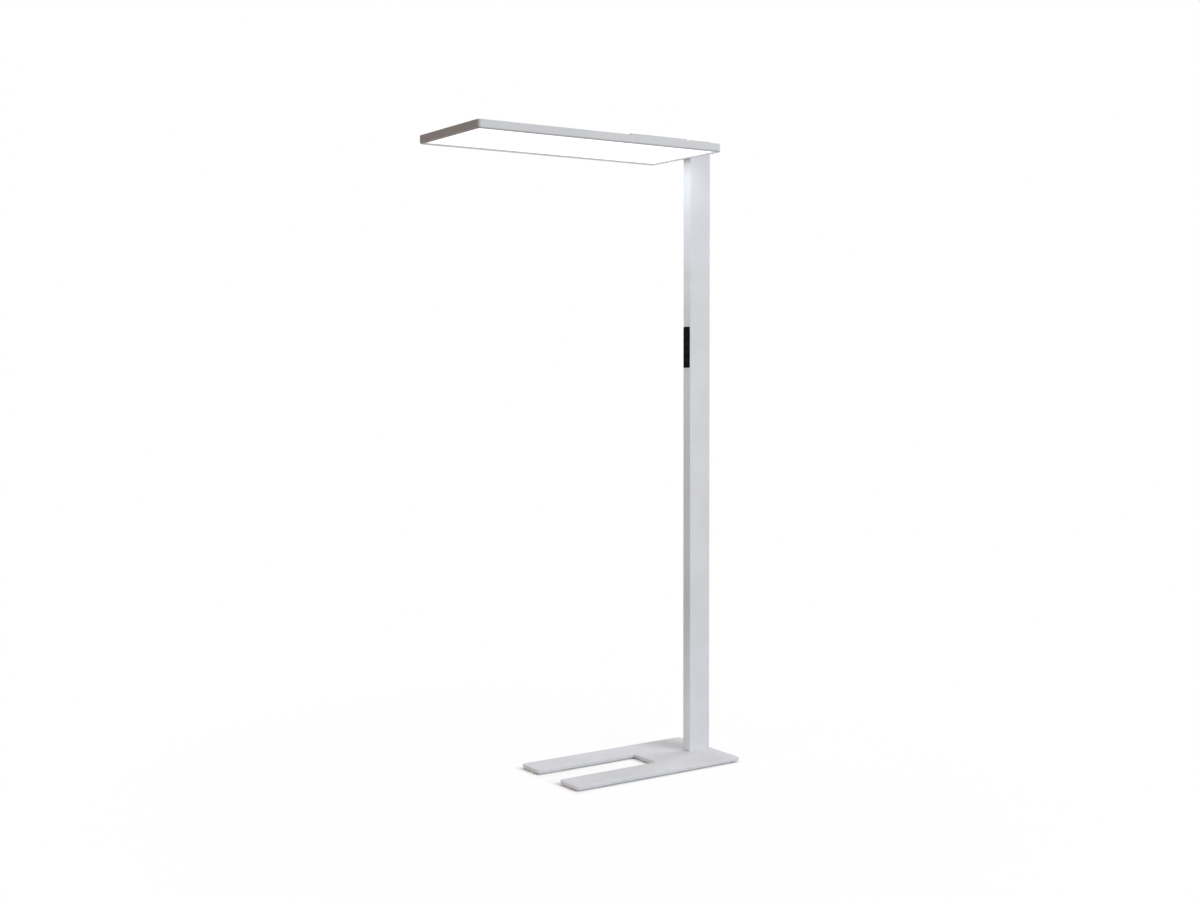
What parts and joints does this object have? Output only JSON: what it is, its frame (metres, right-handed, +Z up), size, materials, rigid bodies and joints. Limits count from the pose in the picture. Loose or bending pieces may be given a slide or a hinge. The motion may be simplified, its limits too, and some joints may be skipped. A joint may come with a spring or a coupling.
{
  "type": "office floor lamp",
  "caption": "Free-standing office lamp: forked base plate that slides around a desk leg, tall rectangular column with a strip of push keys, and a wide flat light head reaching over the desk.",
  "frame": {"origin": "on the floor, in the middle of the lamp's outline seen from above: midway across, and midway between the head's front end and the base's rear edge", "axes": "+Z up, -Y the way the head and the base's prongs reach, +X to the right seen from the front, along the head's width"},
  "size_m": [0.356, 0.936, 1.95],
  "materials": {
    "base_steel": "light grey powder coat, fine texture, on steel plate",
    "column_aluminium": "light grey powder coat on extruded aluminium",
    "head_aluminium": "light grey powder coat on aluminium sheet and profile",
    "neck_aluminium": "light grey powder coat on cast and machined aluminium",
    "bare_aluminium": "mill finish",
    "cap_plastic": "light grey moulding, fine texture",
    "rubber": "black, matt",
    "steel_screws": "zinc plated",
    "black_screws": "black oxide",
    "inlet_plastic": "black moulding",
    "contact_brass": "nickel plated",
    "cable_sheath": "light grey sheath",
    "strip_black": "black, satin gloss",
    "key_plastic": "black, fine texture, pale printed signs",
    "tray_plastic": "dark grey moulding",
    "circuit_board": "green solder resist",
    "switch_plastic": "dark grey moulding",
    "connector_plastic": "ivory moulding",
    "plunger_plastic": "white moulding",
    "driver_plastic": "white moulding",
    "reflector_film": "white film",
    "clear_acrylic": "clear light guide",
    "led_board": "white board with small emitters",
    "opal_acrylic": "opal white, satin, lit"
  },
  "bodies": {
    "lamp": {"base_plate": "base_steel", "base_feet": "rubber", "base_screws": "steel_screws", "column_profile": "column_aluminium", "column_cap": "cap_plastic", "mains_inlet": "inlet_plastic", "inlet_blades": "contact_brass", "mains_cable": "cable_sheath", "control_fascia": "strip_black", "control_tray": "tray_plastic", "control_board": "circuit_board", "key_switches": "switch_plastic", "board_connector": "connector_plastic", "control_screws": "steel_screws", "control_lead": "cable_sheath", "neck_bracket": "neck_aluminium", "neck_backplate": "bare_aluminium", "neck_screws": "black_screws", "arm_cover": "head_aluminium", "arm_cover_screws": "black_screws", "arm_screws": "black_screws", "led_driver": "driver_plastic", "driver_screws": "steel_screws", "led_lead": "cable_sheath", "lead_grommet": "rubber", "head_frame": "head_aluminium", "head_cover": "head_aluminium", "head_cover_screws": "steel_screws", "head_spine": "bare_aluminium", "head_ribs": "bare_aluminium", "reflector_sheet": "reflector_film", "light_guide": "clear_acrylic", "led_strips": "led_board", "diffuser": "opal_acrylic"},
    "power_key": {"key_power": "key_plastic", "plunger_power": "plunger_plastic"},
    "brighter_key": {"key_brighter": "key_plastic", "plunger_brighter": "plunger_plastic"},
    "dimmer_key": {"key_dimmer": "key_plastic", "plunger_dimmer": "plunger_plastic"},
    "mode_key": {"key_mode": "key_plastic", "plunger_mode": "plunger_plastic"}
  },
  "joints": [
    {"name": "power_key_press", "type": "slide", "parent": "lamp", "child": "power_key", "axis": [0, 1, 0], "range_m": [0, 0.0005], "stiffness_N_per_m": 800, "springref_m": -0.001},
    {"name": "brighter_key_press", "type": "slide", "parent": "lamp", "child": "brighter_key", "axis": [0, 1, 0], "range_m": [0, 0.0005], "stiffness_N_per_m": 800, "springref_m": -0.001},
    {"name": "dimmer_key_press", "type": "slide", "parent": "lamp", "child": "dimmer_key", "axis": [0, 1, 0], "range_m": [0, 0.0005], "stiffness_N_per_m": 800, "springref_m": -0.001},
    {"name": "mode_key_press", "type": "slide", "parent": "lamp", "child": "mode_key", "axis": [0, 1, 0], "range_m": [0, 0.0005], "stiffness_N_per_m": 800, "springref_m": -0.001}
  ]
}
